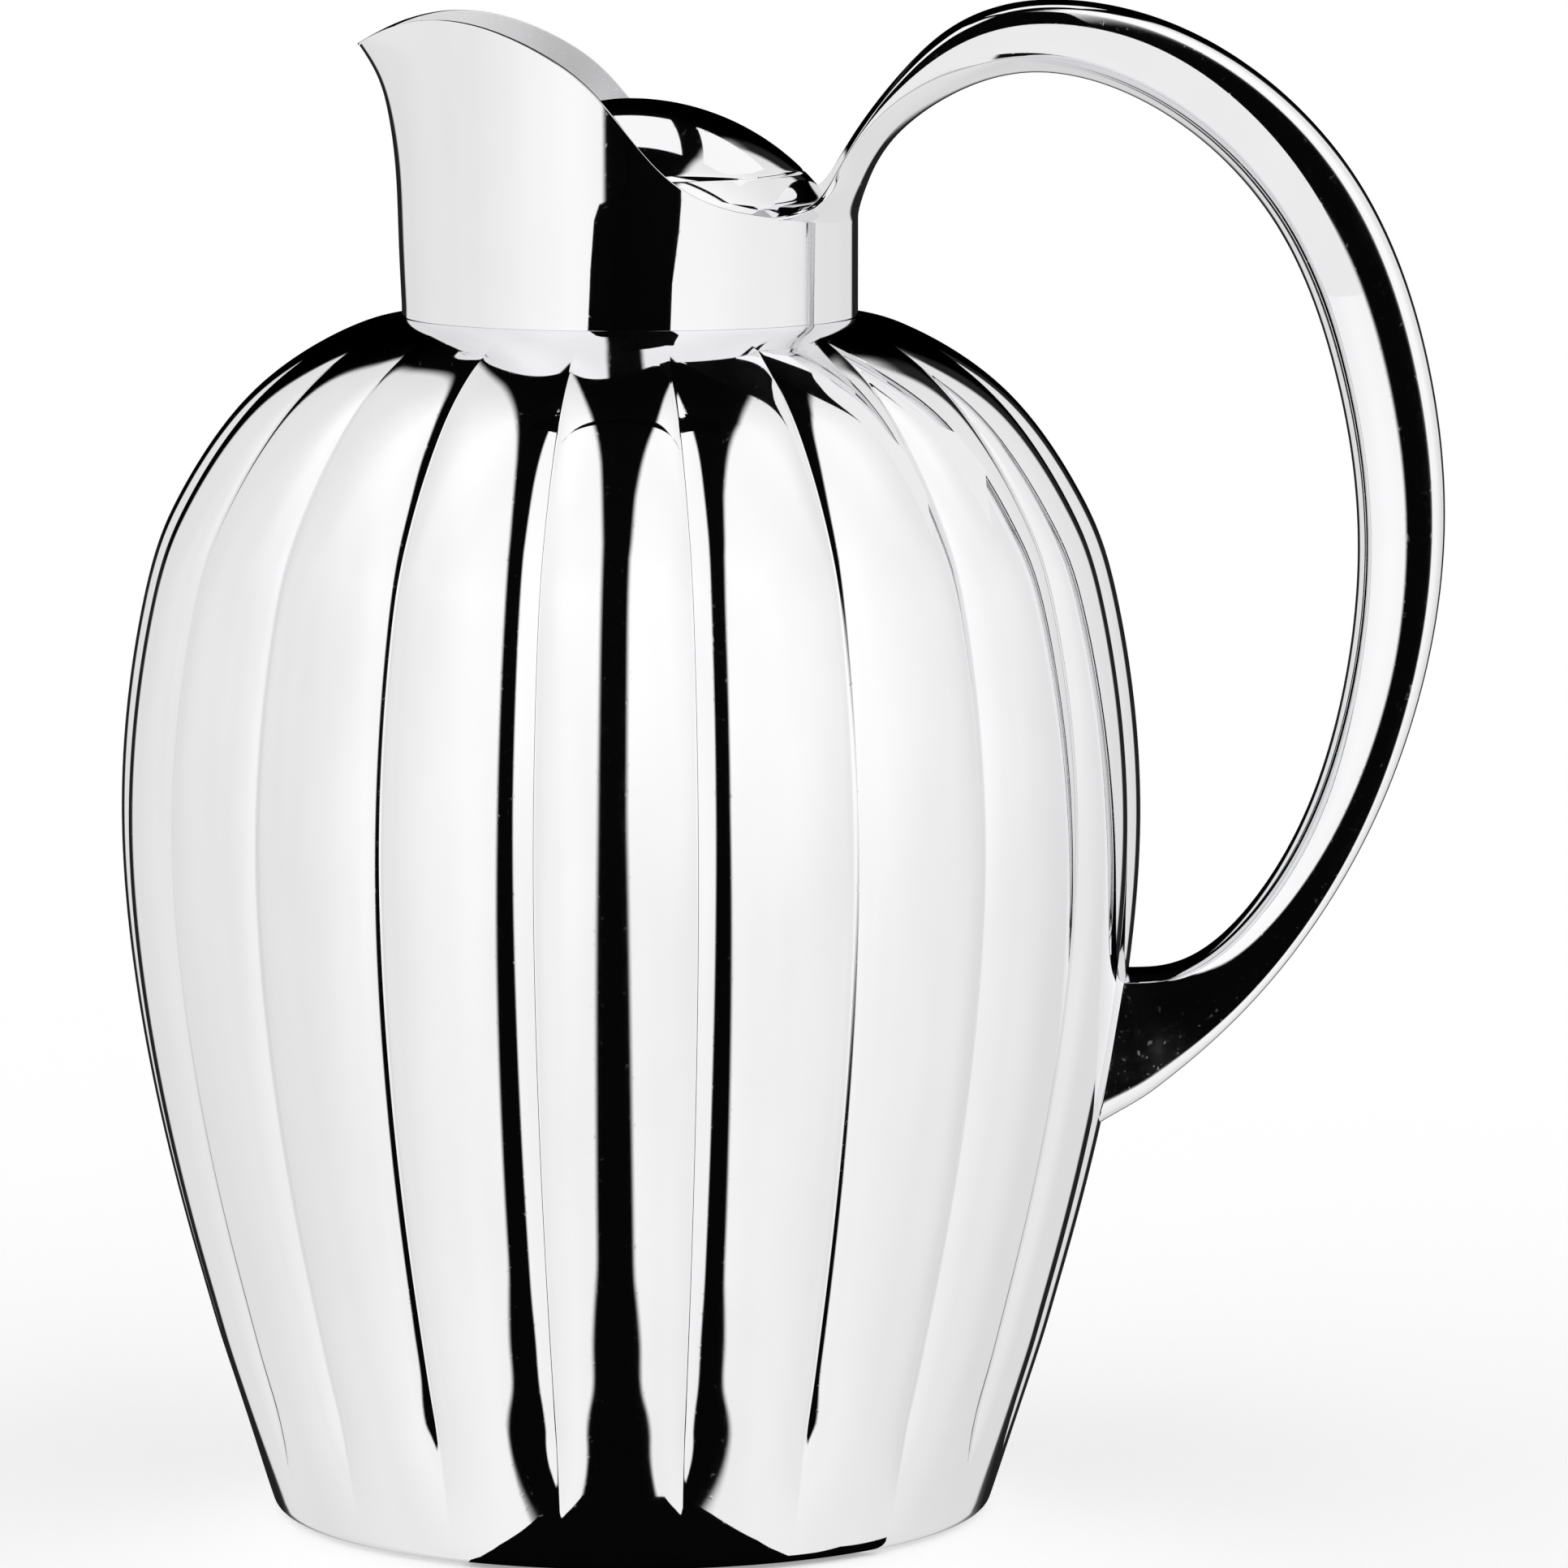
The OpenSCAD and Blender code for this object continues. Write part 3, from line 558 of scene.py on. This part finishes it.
# ------------------------------------------------------------------ materials
class Nodes:
    """Short calls for a material's or the world's nodes."""

    def __init__(self, tree):
        self.tree = tree
        self.at = 0

    def new(self, kind, **values):
        """A new node, with its settings or its inputs set by name."""
        node = self.tree.nodes.new(kind)
        self.at += 1
        node.location = (self.at % 8 * 180, -(self.at // 8) * 200)
        for key, value in values.items():
            if hasattr(node, key):
                setattr(node, key, value)
            else:
                node.inputs[key.replace("_", " ")].default_value = value
        return node

    def link(self, a, b):
        self.tree.links.new(a, b)

    def feed(self, node, name, value):
        """Links a socket to an input, or sets the input to a plain value."""
        if hasattr(value, "links"):
            self.link(value, node.inputs[name])
        elif value is not None:
            node.inputs[name].default_value = value

    def math(self, operation, a, b=None):
        node = self.new("ShaderNodeMath", operation=operation)
        for i, value in enumerate((a, b)):
            self.feed(node, i, value)
        return node.outputs[0]

    def ramp(self, value, low, high, out_low=0.0, out_high=1.0, kind="LINEAR"):
        """The value's range from low to high, mapped to the two results."""
        node = self.new("ShaderNodeMapRange", interpolation_type=kind, clamp=True)
        for i, v in enumerate((value, low, high, out_low, out_high)):
            self.feed(node, i, v)
        return node.outputs[0]

    def curve(self, value, points):
        """Straight pieces through (value, result) points."""
        x0, x1 = points[0][0], points[-1][0]
        low, high = min(p[1] for p in points), max(p[1] for p in points)
        node = self.new("ShaderNodeFloatCurve")
        line = node.mapping.curves[0]
        while len(line.points) < len(points):
            line.points.new(0.5, 0.5)
        for point, (x, y) in zip(line.points, points):
            point.location = ((x - x0) / (x1 - x0), (y - low) / (high - low))
            point.handle_type = "VECTOR"
        node.mapping.update()
        self.feed(node, "Value", self.ramp(value, x0, x1))
        return self.ramp(node.outputs[0], 0.0, 1.0, low, high)

    def mix(self, factor, a, b):
        node = self.new("ShaderNodeMix", data_type="RGBA")
        for i, v in ((0, factor), (6, a), (7, b)):
            self.feed(node, i, v)
        return node.outputs[2]

    def place(self, scale=(1, 1, 1)):
        """Object coordinates, stretched by scale."""
        coord = self.new("ShaderNodeTexCoord")
        mapping = self.new("ShaderNodeMapping")
        mapping.inputs["Scale"].default_value = scale
        self.link(coord.outputs["Object"], mapping.inputs["Vector"])
        return mapping.outputs[0]

    def noise(self, vector, scale, detail=3.0, roughness=0.5):
        node = self.new("ShaderNodeTexNoise")
        self.feed(node, "Vector", vector)
        self.feed(node, "Scale", scale)
        self.feed(node, "Detail", detail)
        self.feed(node, "Roughness", roughness)
        return node.outputs[0]

    def bump(self, height, strength, distance):
        node = self.new("ShaderNodeBump")
        self.feed(node, "Strength", strength)
        self.feed(node, "Distance", distance)
        self.feed(node, "Height", height)
        return node.outputs[0]


def material(name, base, metallic, roughness):
    """A new material with its shader's uniform numbers set on the shader itself."""
    mat = bpy.data.materials.new(name)
    mat.use_nodes = True
    shader = mat.node_tree.nodes["Principled BSDF"]
    shader.inputs["Base Color"].default_value = (*base, 1)
    shader.inputs["Metallic"].default_value = metallic
    shader.inputs["Roughness"].default_value = roughness
    return mat, Nodes(mat.node_tree), shader


def scratches(nodes, density, stretch):
    """Fine hairlines in two directions, as a height from 0 to 1."""
    out = None
    for turn in (0.35, -0.9):
        coord = nodes.new("ShaderNodeTexCoord")
        mapping = nodes.new("ShaderNodeMapping")
        mapping.inputs["Rotation"].default_value = (turn, 0.4 * turn, turn)
        mapping.inputs["Scale"].default_value = (density, density * stretch, density)
        nodes.link(coord.outputs["Object"], mapping.inputs["Vector"])
        lines = nodes.noise(mapping.outputs[0], 1.0, 2.0, 0.6)
        thin = nodes.ramp(lines, 0.66, 0.74, 0.0, 1.0)
        out = thin if out is None else nodes.math("MAXIMUM", out, thin)
    return out


def inside_neck(n):
    """1 on the inner walls of the neck and spout, 0 elsewhere."""
    coord = n.new("ShaderNodeTexCoord")
    at, facing = n.new("ShaderNodeSeparateXYZ"), n.new("ShaderNodeSeparateXYZ")
    n.link(coord.outputs["Object"], at.inputs[0])
    n.link(coord.outputs["Normal"], facing.inputs[0])
    inward = n.math("ADD", n.math("MULTIPLY", at.outputs[0], facing.outputs[0]),
                    n.math("MULTIPLY", at.outputs[1], facing.outputs[1]))
    near = n.math("LESS_THAN", at.outputs[0], 0.028)
    return n.math("MULTIPLY", n.ramp(inward, -0.02, -0.012, 1.0, 0.0), near)


def painted_seam_shade(n):
    """1 inside the gap between the neck and the body, where the steel is painted near-black as the
    gap's shade, 0 elsewhere.
    """
    coord, at = n.new("ShaderNodeTexCoord"), n.new("ShaderNodeSeparateXYZ")
    n.link(coord.outputs["Object"], at.inputs[0])
    x, y, z = at.outputs
    r = n.math("SQRT", n.math("ADD", n.math("MULTIPLY", x, x), n.math("MULTIPLY", y, y)))
    low = n.ramp(z, (SEAM_Z - 0.1) * MM, (SEAM_Z - 0.02) * MM, 1.0, 0.0)
    high = n.math("GREATER_THAN", z, (SEAM_Z - SEAM_DEPTH - 0.4) * MM)
    inside = n.ramp(r, (NECK_R + SEAM_GAP + 0.02) * MM, (NECK_R + SEAM_GAP + 0.1) * MM, 1.0, 0.0)
    return n.math("MULTIPLY", n.math("MULTIPLY", low, high), inside)


NECK_SATIN, NECK_METAL = 0.22, 0.2


def polished_steel(name="polished_steel", satin=0.0):
    """Mirror steel with faint smears and hairlines, and painted shade in the gap at the seam;
    satin dulls the inside of the neck.
    """
    mat, n, shader = material(name, (0.86, 0.86, 0.87), 1.0, 0.04)
    smear = n.noise(n.place((1, 1, 0.6)), 26.0, 4.0, 0.6)
    fine = n.noise(n.place(), 420.0, 3.0, 0.6)
    hair = scratches(n, 900.0, 0.03)
    tone = n.mix(n.ramp(smear, 0.3, 0.7), (0.875, 0.875, 0.885, 1), (0.835, 0.835, 0.845, 1))
    # painted shade: the steel's colour turns near-black inside the gap between the neck and the
    # body
    n.link(n.mix(painted_seam_shade(n), tone, (0.02, 0.02, 0.02, 1)), shader.inputs["Base Color"])
    rough = n.math("ADD", n.ramp(smear, 0.3, 0.75, 0.018, 0.05),
                   n.math("MULTIPLY", hair, 0.06))
    rough = n.math("ADD", rough, n.ramp(fine, 0.4, 0.8, 0.0, 0.015))
    if satin:
        inside = inside_neck(n)
        rough = n.math("ADD", rough, n.math("MULTIPLY", inside, satin))
        n.link(n.ramp(inside, 0.0, 1.0, 1.0, NECK_METAL), shader.inputs["Metallic"])
    n.link(rough, shader.inputs["Roughness"])
    n.link(n.bump(hair, 0.05, 0.00002), shader.inputs["Normal"])
    return mat


def brushed_steel():
    """Turned steel of the flask, with fine rings."""
    mat, n, shader = material("flask_steel", (0.72, 0.72, 0.73), 1.0, 0.28)
    coord = n.new("ShaderNodeTexCoord")
    parts = n.new("ShaderNodeSeparateXYZ")
    n.link(coord.outputs["Object"], parts.inputs[0])
    lines = n.new("ShaderNodeTexNoise", noise_dimensions="1D")
    n.feed(lines, "W", n.math("MULTIPLY", parts.outputs[2], 5200.0))
    n.feed(lines, "Scale", 1.0)
    n.feed(lines, "Detail", 3.0)
    cloud = n.noise(n.place(), 40.0, 3.0)
    n.link(n.mix(cloud, (0.66, 0.66, 0.67, 1), (0.76, 0.76, 0.77, 1)), shader.inputs["Base Color"])
    n.link(n.ramp(lines.outputs[0], 0.3, 0.7, 0.2, 0.34), shader.inputs["Roughness"])
    n.link(n.bump(lines.outputs[0], 0.25, 0.00004), shader.inputs["Normal"])
    return mat


def plain_plastic(name, dark, light, rough_low, rough_high, grain):
    """Moulded plastic or rubber: a cloudy tone and a fine grain."""
    mat, n, shader = material(name, dark, 0.0, rough_high)
    fine = n.noise(n.place(), grain, 3.0, 0.6)
    cloud = n.noise(n.place(), 35.0, 3.0)
    n.link(n.mix(cloud, (*dark, 1), (*light, 1)), shader.inputs["Base Color"])
    n.link(n.ramp(cloud, 0.3, 0.7, rough_low, rough_high), shader.inputs["Roughness"])
    n.link(n.bump(fine, 0.18, 0.00006), shader.inputs["Normal"])
    return mat


def silicone():
    mat = plain_plastic("silicone", (0.82, 0.82, 0.8), (0.9, 0.9, 0.88), 0.35, 0.5, 1600)
    shader = mat.node_tree.nodes["Principled BSDF"]
    shader.inputs["Subsurface Weight"].default_value = 0.25
    shader.inputs["Subsurface Radius"].default_value = (0.002, 0.002, 0.0015)
    return mat


def brass():
    mat, n, shader = material("brass", (0.78, 0.6, 0.28), 1.0, 0.25)
    cloud = n.noise(n.place(), 120.0, 4.0)
    n.link(n.mix(cloud, (0.74, 0.55, 0.24, 1), (0.84, 0.67, 0.35, 1)), shader.inputs["Base Color"])
    n.link(n.ramp(cloud, 0.3, 0.7, 0.16, 0.36), shader.inputs["Roughness"])
    return mat


# --------------------------------------------------------------------- studio
# The tent's dark opening: how far it reaches to the left and the right, in degrees, at
# angles round the side-to-side axis (0 towards the camera, 90 overhead, 180 behind)
OPEN_LEFT = [(-90, -22), (-50, -22), (-39, -13), (0, -11), (50, -9), (70, -10.5), (95, -14),
             (113, -17), (135, -22), (180, -27)]
OPEN_RIGHT = [(-90, 20), (-50, 18), (-39, 7), (0, 4.5), (45, 5.5), (60, 8), (75, 12.5),
              (90, 17), (113, 19), (135, 17), (180, 17)]
WHITE = 1.17
CARD_LIGHT = 0.93 * WHITE


def make_world():
    """A white tent with a dark opening that runs from the camera's feet over the jug."""
    world = bpy.data.worlds.new("studio")
    bpy.context.scene.world = world
    world.use_nodes = True
    world.node_tree.nodes.clear()
    n = Nodes(world.node_tree)
    coord = n.new("ShaderNodeTexCoord")
    parts = n.new("ShaderNodeSeparateXYZ")
    n.link(coord.outputs["Generated"], parts.inputs[0])
    x, y, z = parts.outputs
    side = n.math("DEGREES", n.math("ARCTAN2", x, n.math("MULTIPLY", y, -1.0)))
    rise = n.math("DEGREES", n.math("ARCSINE", z))
    round_x = n.math("DEGREES", n.math("ARCTAN2", z, n.math("MULTIPLY", y, -1.0)))
    aside = n.math("DEGREES", n.math("ARCSINE", x))

    def between(value, low, high, soft):
        above = n.math("SUBTRACT", value, low)
        below = n.math("SUBTRACT", high, value)
        return n.math("MULTIPLY", n.ramp(above, -soft, soft, kind="SMOOTHSTEP"),
                      n.ramp(below, -soft, soft, kind="SMOOTHSTEP"))

    def darken(light, mask, amount=1.0):
        return n.math("MULTIPLY", light, n.math("SUBTRACT", 1.0, n.math("MULTIPLY", mask, amount)))

    left, right = n.curve(round_x, OPEN_LEFT), n.curve(round_x, OPEN_RIGHT)
    opening = n.math("MULTIPLY", between(aside, left, right, 1.5), n.ramp(round_x, -88.0, -80.0))
    # soft greys of the tent
    cloth = n.new("ShaderNodeTexNoise")
    n.link(coord.outputs["Generated"], cloth.inputs["Vector"])
    n.feed(cloth, "Scale", 1.6)
    n.feed(cloth, "Detail", 1.0)
    light = n.ramp(cloth.outputs[0], 0.3, 0.7, CARD_LIGHT, WHITE)
    for value, low, high, dim in ((n.math("ABSOLUTE", aside), 80.0, 30.0, 0.86),
                                  (rise, -55.0, 5.0, 0.87),
                                  (n.math("ABSOLUTE", side), 150.0, 90.0, 0.76)):
        light = n.math("MULTIPLY", light, n.ramp(value, low, high, dim, 1.0))
    light = darken(light, opening, 0.998)
    # two dark posts behind the jug draw its outline
    away = n.math("ABSOLUTE", side)
    light = darken(light, n.math("MULTIPLY", between(away, 153.0, 186.0, 2.0),
                                 between(rise, -25.0, 40.0, 8.0)), 0.98)
    path = n.new("ShaderNodeLightPath")
    camera = path.outputs["Is Camera Ray"]
    total = n.math("ADD", n.math("MULTIPLY", light, n.math("SUBTRACT", 1.0, camera)), camera)
    back = n.new("ShaderNodeBackground")
    n.feed(back, "Color", (1, 1, 1, 1))
    n.link(total, back.inputs["Strength"])
    out = n.new("ShaderNodeOutputWorld")
    n.link(back.outputs[0], out.inputs["Surface"])


def make_floor():
    bpy.ops.mesh.primitive_plane_add(size=60, location=(0, 0, 0))
    floor = bpy.context.object
    floor.name = "floor"
    mat, n, shader = material("floor", (0.94, 0.94, 0.94), 0.0, 0.6)
    grain = n.noise(n.place(), 8.0, 3.0)
    n.link(n.mix(grain, (0.93, 0.93, 0.93, 1), (0.95, 0.95, 0.95, 1)), shader.inputs["Base Color"])
    shader.inputs["Specular IOR Level"].default_value = 0.0
    shader.inputs["Emission Color"].default_value = (1, 1, 1, 1)
    shader.inputs["Emission Strength"].default_value = 0.33
    floor.data.materials.append(mat)
    floor.visible_glossy = False


def studio_card(name, points, light):
    """A card that only shows in reflections; points are one or more four-sided rows."""
    skin = Skin()
    skin.grid(np.array(points, float))
    card = skin.build(name)
    mat, n, shader = material(name, (0.003, 0.003, 0.003), 0.0, 0.9)
    shader.inputs["Specular IOR Level"].default_value = 0.0
    shader.inputs["Emission Color"].default_value = (1, 1, 1, 1)
    shader.inputs["Emission Strength"].default_value = light
    card.data.materials.append(mat)
    card.visible_camera = card.visible_shadow = card.visible_diffuse = False
    return card


def make_neck_flag():
    """The dark opening as the neck sees it, nearer and wider, with a step near the rim."""
    y = -60.0
    # edges of the flag, as (x, height)
    left = [(-14.8, 182), (-13, 198), (-11.5, 206), (-9.5, 208.5), (-2, 210), (1, 213), (-4, 231)]
    right = [(16.5, 182), (18, 196), (21, 204), (22, 208.5), (22, 210), (22, 213), (22, 231)]
    studio_card("neck_flag", [[(x, y, z) for x, z in row] for row in (left, right)], 0.0)


def make_handle_cards():
    """A light and a dark card close to the loop; their edge draws the handle's dark band."""
    y = -26.0
    t = np.linspace(1.2, 6.6, 60)
    a, b = spline(GRIP_IN, t), spline(GRIP_OUT, t)
    out = (b - a) / np.linalg.norm(b - a, axis=-1, keepdims=True)
    far = a - out * 44
    edge = b - out * (7.5 + 5 * ease((t - 4.3) / 2))[:, None]
    rim = edge + out * (34 * (1 - ease((t - 2.6) / 1.8)) + 0.05)[:, None]
    for name, lines, light in (("handle_card", (edge, far), 0.83 * WHITE),
                               ("handle_flag", (rim, edge), 0.0)):
        rows = [np.stack([line[:, 0], np.full(len(t), y), line[:, 1]], -1) for line in lines]
        studio_card(name, rows, light)


def make_top_cards():
    """Two light panels close above the lid, with a slanting gap between them."""
    height, front, back = 300.0, 8.0, 78.0
    gap_front, gap_back, half = 39.0, 27.0, 7.5
    for name, low, high in (("top_card_left", (-32, -42), (gap_front - half, gap_back - half)),
                            ("top_card_right", (gap_front + half, gap_back + half), (80, 90))):
        studio_card(name, [[(x[0], front, height), (x[1], back, height)] for x in (low, high)],
                    CARD_LIGHT)


def make_foot_shadow_card():
    """Painted shadow: a dark card on the floor by the foot that stands in for the jug's own shadow
    there, which the lowest part of the body reflects.
    """
    # (y, left x, right x)
    ends = [(-40, -22.5, 44), (-47, -24, 36), (-52, -24, 27), (-57.6, -22, 24.5),
            (-62, -19.5, 21.5), (-67, -17, 18), (-73, -12, 13)]
    height = 0.3
    studio_card("foot_shadow_card", [[(row[k], row[0], height) for row in ends] for k in (1, 2)], 0.0)


CAMERA_SPOT = Vector((0.0418, -1.4074, 0.2894))
CAMERA_TARGET = Vector((0.0243, 0.0007, 0.1158))
CAMERA_LENS, SENSOR_WIDTH = 204.97, 36.0


def make_camera():
    """The photograph's view: a long lens a little above the jug."""
    data = bpy.data.cameras.new("camera")
    data.sensor_width = SENSOR_WIDTH
    data.lens = CAMERA_LENS
    data.clip_start, data.clip_end = 0.05, 60.0
    camera = bpy.data.objects.new("camera", data)
    camera.location = CAMERA_SPOT
    camera.rotation_mode = "QUATERNION"
    camera.rotation_quaternion = (CAMERA_TARGET - CAMERA_SPOT).to_track_quat("-Z", "Y")
    bpy.context.scene.collection.objects.link(camera)
    bpy.context.scene.camera = camera


# -------------------------------------------------------------------- assembly
def dress(obj, mat):
    """Gives an object one finish and no other."""
    obj.data.materials.clear()
    obj.data.materials.append(mat)


def show(obj, body, slot, mat, *nodes):
    """Puts a new piece on its body, in its finish, in place of its CAD nodes."""
    dress(obj, mat)
    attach(obj, body)
    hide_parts(*nodes)


bpy.context.scene.view_settings.view_transform = "Standard"
make_camera()
make_world()
make_floor()
make_neck_flag()
make_handle_cards()
make_top_cards()
# painted shadow on the floor by the foot, seen only in reflections
make_foot_shadow_card()

STEEL = polished_steel()
FLASK = brushed_steel()
BLACK = plain_plastic("black_plastic", (0.012, 0.012, 0.013), (0.02, 0.02, 0.021), 0.28, 0.42,
                      2600)
GREY = plain_plastic("grey_plastic", (0.09, 0.09, 0.095), (0.12, 0.12, 0.125), 0.45, 0.6, 2200)
RUBBER = plain_plastic("foot_rubber", (0.015, 0.015, 0.015), (0.03, 0.03, 0.03), 0.65, 0.85,
                       1800)
SILICONE = silicone()
BRASS = brass()

show(make_body(), "jug", "polished_steel", STEEL, "body_shell")
show(make_neck_and_handle(), "jug", "polished_steel", polished_steel("neck_steel", NECK_SATIN),
     "neck_spout", "handle")
show(make_lid_dome(), "lid", "polished_steel", STEEL, "lid_dome")
show(make_collar(), "stopper", "polished_steel", STEEL, "stopper_collar")

FINISH = {
    "foot_thread_ring": FLASK, "base_cover": GREY, "foot_pad": RUBBER, "flask_cushion": RUBBER,
    "flask_outer": FLASK, "flask_inner": FLASK, "flask_rim": STEEL, "vacuum_seal_cap": BRASS,
    "mouth_gasket": SILICONE, "funnel_ring": BLACK, "stopper_body": BLACK,
    "stopper_seal_lower": SILICONE, "stopper_seal_upper": SILICONE, "pin_bushes": BRASS,
    "hinge_pin": STEEL, "lid_liner": BLACK, "lid_seal": SILICONE, "lid_weight": FLASK,
    "weight_screw": FLASK,
}
for name, finish in FINISH.items():
    dress(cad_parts[name], finish)
